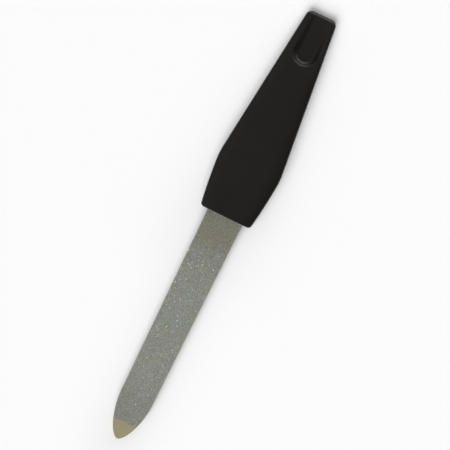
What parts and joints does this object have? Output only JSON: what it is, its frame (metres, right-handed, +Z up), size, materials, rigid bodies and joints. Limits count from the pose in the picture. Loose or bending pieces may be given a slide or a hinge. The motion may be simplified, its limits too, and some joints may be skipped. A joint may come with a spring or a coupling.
{
  "type": "nail file",
  "caption": "Flat nail file: tapered steel blade with a coarse and a fine grit face, moulded into a waisted plastic handle with a fingertip scoop.",
  "frame": {"origin": "middle of the file's length and width, on the surface that the handle's back rests on", "axes": "+X from the blade's tip to the handle's end, +Z up out of the pictured face, +Y across the width"},
  "size_m": [0.125, 0.0178, 0.0052],
  "materials": {
    "black_plastic": "satin, finely textured warm black",
    "satin_steel": "satin, faintly yellow",
    "coarse_grit": "grey crystal grit that sparkles",
    "fine_grit": "finer grey crystal grit"
  },
  "bodies": {
    "root": {"handle": "black_plastic", "blade": "satin_steel", "coarse_grit_coat": "coarse_grit", "fine_grit_coat": "fine_grit"}
  },
  "joints": []
}
